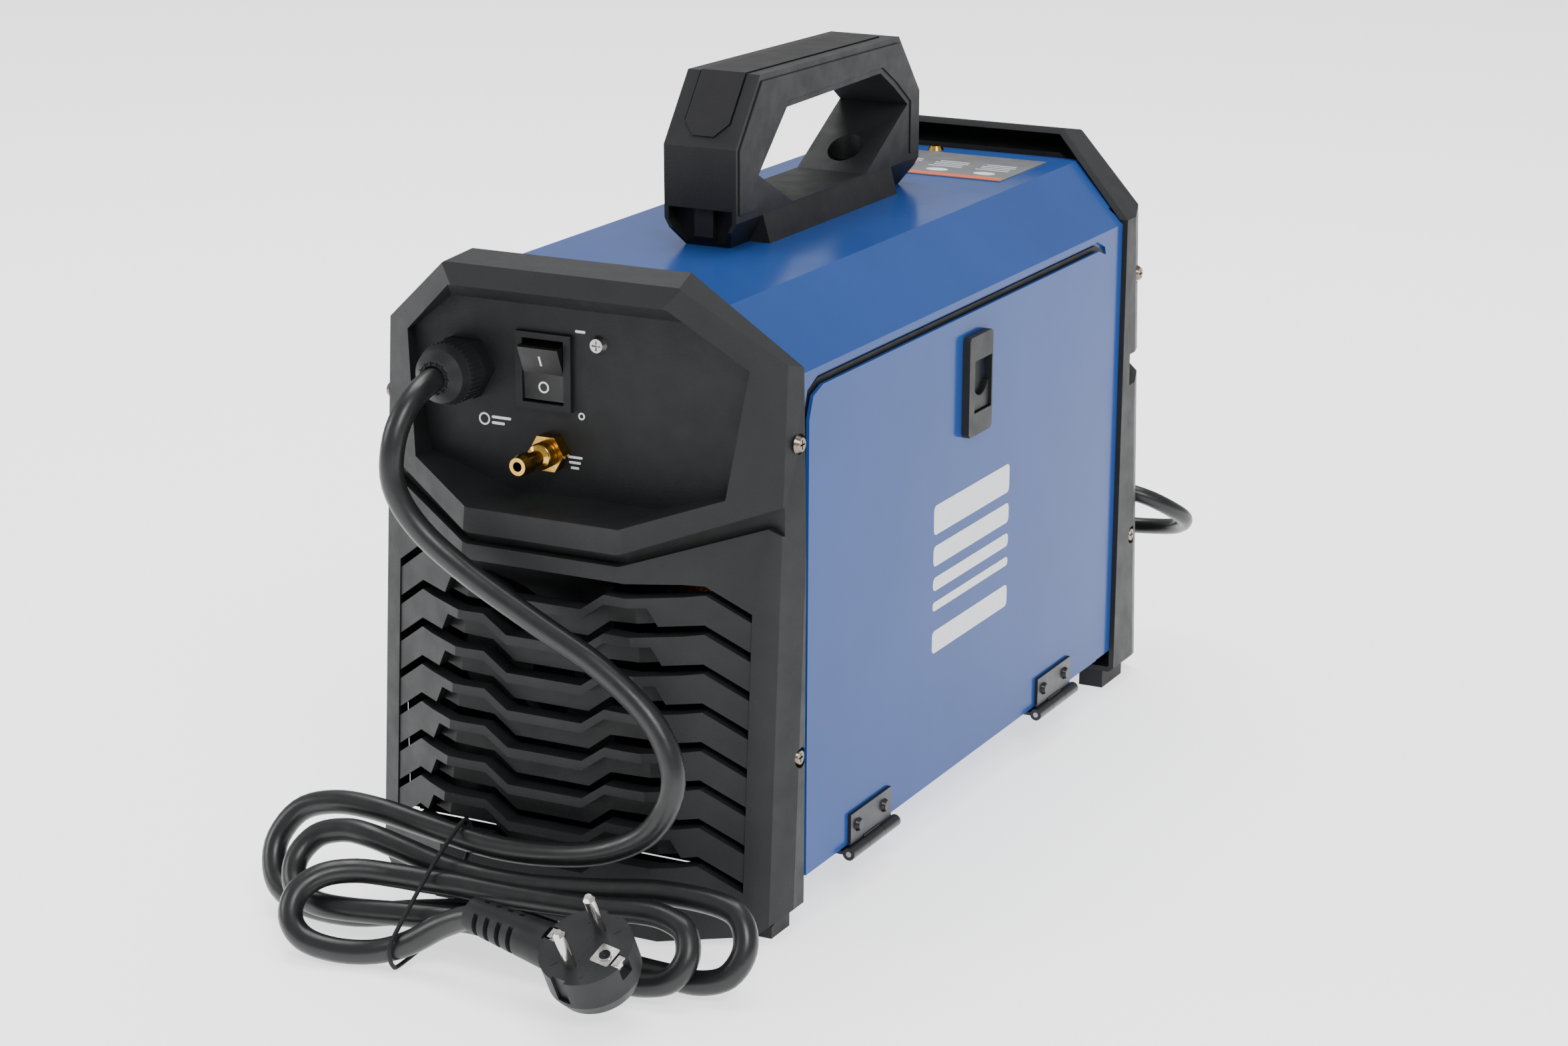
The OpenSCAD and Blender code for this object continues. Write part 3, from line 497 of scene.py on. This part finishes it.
def gas_thread():
    """Rings that read as a thread between the panel and the gas nut."""
    bm = bmesh.new()
    pitch, turns = 0.9, 6
    prof = [(4.9, 6.2)]
    for k in range(turns):
        z = 6.3 + pitch * k
        prof += [(5.45, z + 0.25 * pitch), (5.45, z + 0.4 * pitch), (5.02, z + 0.85 * pitch)]
    lathe(bm, prof + [(4.9, 6.3 + pitch * turns), (4.9, 6.2)], GAS)
    mesh_piece("gas_thread", bm, "case", "brass")


def door_gap_shade():
    """Dark sheet on the door frame, a painted shade: it shows only in the gap round the door's top and
    ends, where it makes the gap read dark.
    """
    outer = [(-141.4, 60), (-141.4, 211.4), (-137.6, 221.6), (-128.2, 225.4), (160.2, 225.4),
             (169.6, 221.6), (173.4, 211.4), (173.4, 60)]
    inner = [(168, 60), (168, 209), (165, 216), (158, 219), (-126, 219), (-133, 216), (-136, 209),
             (-136, 60)]
    bm = bmesh.new()
    pts = [(y * MM, z * MM) for y, z in outer + inner]
    near, far = ([bm.verts.new((x * MM, y, z)) for y, z in pts] for x in (-91.7, -91.1))
    bm.faces.new(near)
    bm.faces.new(far[::-1])
    for i in range(len(pts)):
        j = (i + 1) % len(pts)
        bm.faces.new((near[i], far[i], far[j], near[j]))
    # Painted shade: this dark sheet stands in for the shade inside the door gap.
    mesh_piece("door_gap_shade_sheet", bm, "case", "rubber", smooth=False)


def grille_shade_backing():
    """Dark lip that closes the gap between the grille and the base plate: partly a rear wall, partly
    painted shade that makes the gap under the grille read dark.
    """
    bm = bmesh.new()
    prism(bm, box2(-84, 11.2, 84, 19.8), 0.6, plane((0, 178.2, 0), (-1, 0, 0), (0, 0, 1)))
    # Painted shade: a near-black plate behind the grille's lower gap.
    mesh_piece("grille_shade_backing", bm, "case", "switch_black", smooth=False)


def plug_face():
    """Earth plate with its round hole, drawn as a flat dark disc of painted shade, the two side
    contacts, and short ridges on the face.
    """
    place = (Matrix.Scale(MM, 4) @ Matrix.Translation(PLUG_AT)
             @ Matrix.Rotation(math.radians(PLUG_TILT), 4, "X")
             @ Matrix.Rotation(math.radians(PLUG_TURN), 4, "Z"))
    bm = bmesh.new()
    prism(bm, rounded(8.5, 9, 0.8), 0.2, shift(place, EARTH_X, 0, 0.02))
    mesh_piece("earth_plate", bm, "case", "chrome", smooth=False)
    # Painted shade: a flat dark disc on the earth plate stands in for the inside of the hole.
    bm = bmesh.new()
    hoop(bm, 0.2, 2.3, 0.12, shift(place, EARTH_X, 0, 0.22))
    mesh_piece("earth_hole_shade", bm, "case", "window", smooth=False)
    bm = bmesh.new()
    hoop(bm, 2.3, 2.9, 0.3, shift(place, EARTH_X, 0, 0.22))
    for degrees in (0, 180):
        prism(bm, box2(15.4, -2.2, 17.4, 2.2), 0.5, shift(turned(place, degrees), 0, 0, -0.4))
    mesh_piece("earth_contacts", bm, "case", "chrome", smooth=False)
    bm = bmesh.new()
    for degrees in (60, 120, 240, 300):
        prism(bm, rounded(3.2, 1.2, 0.5), 0.15, shift(turned(place, degrees), 13.5, 0, 0.0))
    mesh_piece("plug_ridges", bm, "case", "black_plastic", smooth=False)


def handle_side_plates():
    """The raised frame on each flank of the handle, following its outline."""
    outer = [(-92, 269), (-92, 296), (-70, 321.4), (64, 322.8), (84.2, 296.4), (84, 269)]
    inner = [(68.5, 269), (68.5, 284.4), (41.5, 310.8), (-53, 312.4), (-68.4, 303.6), (-83.6, 293),
             (-83.6, 269)]
    for side, name in ((1, "handle_flank_left"), (-1, "handle_flank_right")):
        place = plane((HANDLE_HALF * side, 0, 0), (0, side, 0), (0, 0, 1))
        bm = bmesh.new()
        prism(bm, [(side * y, z) for y, z in outer + inner], 0.7, place)
        mesh_piece(name, bm, "case", "black_plastic", 0.0004, 2)


materials()
studio()
camera()
cords()
finish_nodes()
rear_marks()
door_graphic()
top_label_print()
gland_details()
gas_thread()
door_gap_shade()
grille_shade_backing()
plug_face()
handle_side_plates()
